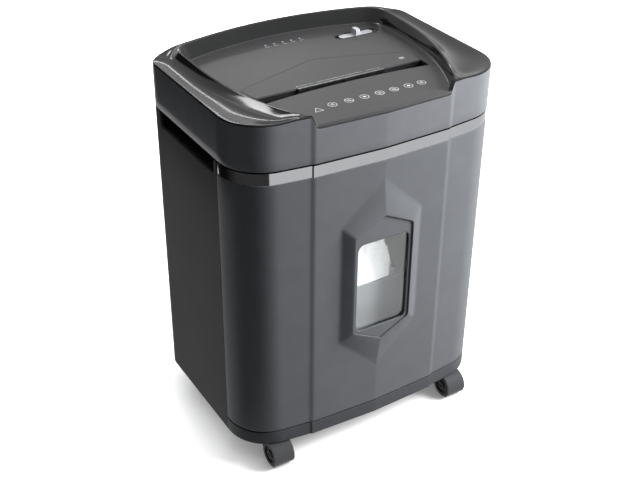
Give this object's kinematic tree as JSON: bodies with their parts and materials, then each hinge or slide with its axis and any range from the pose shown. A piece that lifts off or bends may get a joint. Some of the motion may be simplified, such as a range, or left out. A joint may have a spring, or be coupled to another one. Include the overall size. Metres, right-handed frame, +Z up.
{
  "type": "paper shredder",
  "caption": "Free-standing paper shredder with a pull-out windowed bin, recessed feed throat, slide switch, geared cutter shafts and twin-wheel casters.",
  "frame": {"origin": "floor plane, below the middle of the outer box", "axes": "+Z up; -Y is the front with the bin window; +X to the right seen from the front"},
  "size_m": [0.366, 0.2815, 0.4939],
  "materials": {
    "shell": "fine moulded grain, satin",
    "inner_shell": "plain moulded",
    "gloss_trim": "polished black",
    "window": "clear",
    "bucket": "translucent",
    "paper": "cut paper",
    "steel": "ground",
    "plated_steel": "zinc plated sheet",
    "bronze": "sintered bronze",
    "gear_steel": "sintered, oiled",
    "gear_nylon": "natural nylon",
    "caster_plastic": "satin",
    "caster_tread": "matt",
    "board": "solder mask",
    "board_parts": "moulded cases",
    "lens": "clear light guide",
    "switch_gloss": "polished black",
    "switch_pale": "pale grey",
    "lip": "satin",
    "screw": "black zinc"
  },
  "bodies": {
    "cabinet": {"side_panel_left": "shell", "side_panel_right": "shell", "back_panel": "shell", "base_tray": "shell", "caster_sockets": "plated_steel", "bin_runners": "inner_shell", "cutter_bed": "inner_shell", "grip_pocket_left": "inner_shell", "grip_pocket_right": "inner_shell", "cord_gland": "caster_plastic", "back_screws": "screw", "cover_screws": "screw", "head_cover": "shell", "throat_plate": "shell", "throat_lip": "lip", "entry_guides": "inner_shell", "switch_bezel": "switch_gloss", "switch_case": "inner_shell", "indicator_lenses": "lens", "indicator_board": "board", "control_board": "board", "board_parts": "board_parts", "side_plate_left": "plated_steel", "side_plate_right": "plated_steel", "tie_rods": "steel", "shaft_bushes": "bronze", "stripper_combs": "gear_nylon", "idler_pin": "steel", "motor_can": "plated_steel", "interlock_switch": "inner_shell"},
    "bin": {"front_panel": "shell", "front_band": "gloss_trim", "window_frame": "shell", "window_pane": "window", "bin_carrier": "inner_shell", "bin_bucket": "bucket", "shred_heap": "paper"},
    "switch": {"switch_slider": "switch_pale"},
    "interlock": {"interlock_plunger": "gear_nylon"},
    "cutter_rear": {"cutter_shaft_rear": "steel", "cutter_discs_rear": "steel", "sync_gear_rear": "gear_steel", "drive_gear": "gear_steel"},
    "cutter_front": {"cutter_shaft_front": "steel", "cutter_discs_front": "steel", "sync_gear_front": "gear_steel"},
    "idler": {"idler_gear": "gear_nylon"},
    "rotor": {"motor_rotor": "steel", "motor_pinion": "gear_steel"},
    "caster_front_left_hood": {"caster_hood_front_left": "caster_plastic"},
    "caster_front_left_wheels": {"caster_wheels_front_left": "caster_tread"},
    "caster_front_right_hood": {"caster_hood_front_right": "caster_plastic"},
    "caster_front_right_wheels": {"caster_wheels_front_right": "caster_tread"},
    "caster_rear_left_hood": {"caster_hood_rear_left": "caster_plastic"},
    "caster_rear_left_wheels": {"caster_wheels_rear_left": "caster_tread"},
    "caster_rear_right_hood": {"caster_hood_rear_right": "caster_plastic"},
    "caster_rear_right_wheels": {"caster_wheels_rear_right": "caster_tread"}
  },
  "joints": [
    {"name": "bin_slide", "type": "slide", "parent": "cabinet", "child": "bin", "axis": [0, -1, 0], "range_m": [0, 0.2]},
    {"name": "switch_slide", "type": "slide", "parent": "cabinet", "child": "switch", "axis": [1, 0, 0], "range_m": [-0.006, 0.006]},
    {"name": "interlock_press", "type": "slide", "parent": "cabinet", "child": "interlock", "axis": [0, 1, 0], "range_m": [0, 0.0015], "stiffness_N_per_m": 100},
    {"name": "cutter_rear_spin", "type": "hinge", "parent": "cabinet", "child": "cutter_rear", "pos_m": [0, -0.0215, 0.446], "axis": [1, 0, 0], "continuous": true},
    {"name": "cutter_front_spin", "type": "hinge", "parent": "cabinet", "child": "cutter_front", "pos_m": [0, -0.0595, 0.446], "axis": [1, 0, 0], "continuous": true},
    {"name": "idler_spin", "type": "hinge", "parent": "cabinet", "child": "idler", "pos_m": [0, 0.01052, 0.43802], "axis": [1, 0, 0], "continuous": true},
    {"name": "motor_spin", "type": "hinge", "parent": "cabinet", "child": "rotor", "pos_m": [0, 0.04041, 0.4354], "axis": [1, 0, 0], "continuous": true},
    {"name": "caster_front_left_swivel", "type": "hinge", "parent": "cabinet", "child": "caster_front_left_hood", "pos_m": [-0.1377, -0.10825, 0.035], "axis": [0, 0, 1], "continuous": true},
    {"name": "caster_front_left_spin", "type": "hinge", "parent": "caster_front_left_hood", "child": "caster_front_left_wheels", "pos_m": [-0.1377, -0.11825, 0.016], "axis": [1, 0, 0], "continuous": true},
    {"name": "caster_front_right_swivel", "type": "hinge", "parent": "cabinet", "child": "caster_front_right_hood", "pos_m": [0.1377, -0.10825, 0.035], "axis": [0, 0, 1], "continuous": true},
    {"name": "caster_front_right_spin", "type": "hinge", "parent": "caster_front_right_hood", "child": "caster_front_right_wheels", "pos_m": [0.1377, -0.11825, 0.016], "axis": [1, 0, 0], "continuous": true},
    {"name": "caster_rear_left_swivel", "type": "hinge", "parent": "cabinet", "child": "caster_rear_left_hood", "pos_m": [-0.1377, 0.08175, 0.035], "axis": [0, 0, 1], "continuous": true},
    {"name": "caster_rear_left_spin", "type": "hinge", "parent": "caster_rear_left_hood", "child": "caster_rear_left_wheels", "pos_m": [-0.1377, 0.07175, 0.016], "axis": [1, 0, 0], "continuous": true},
    {"name": "caster_rear_right_swivel", "type": "hinge", "parent": "cabinet", "child": "caster_rear_right_hood", "pos_m": [0.1377, 0.08175, 0.035], "axis": [0, 0, 1], "continuous": true},
    {"name": "caster_rear_right_spin", "type": "hinge", "parent": "caster_rear_right_hood", "child": "caster_rear_right_wheels", "pos_m": [0.1377, 0.07175, 0.016], "axis": [1, 0, 0], "continuous": true}
  ],
  "couplings": [
    {"joint": "cutter_front_spin", "follows": "cutter_rear_spin", "ratio": -1},
    {"joint": "idler_spin", "follows": "cutter_rear_spin", "ratio": -2.1429},
    {"joint": "motor_spin", "follows": "cutter_rear_spin", "ratio": 6.4286}
  ]
}
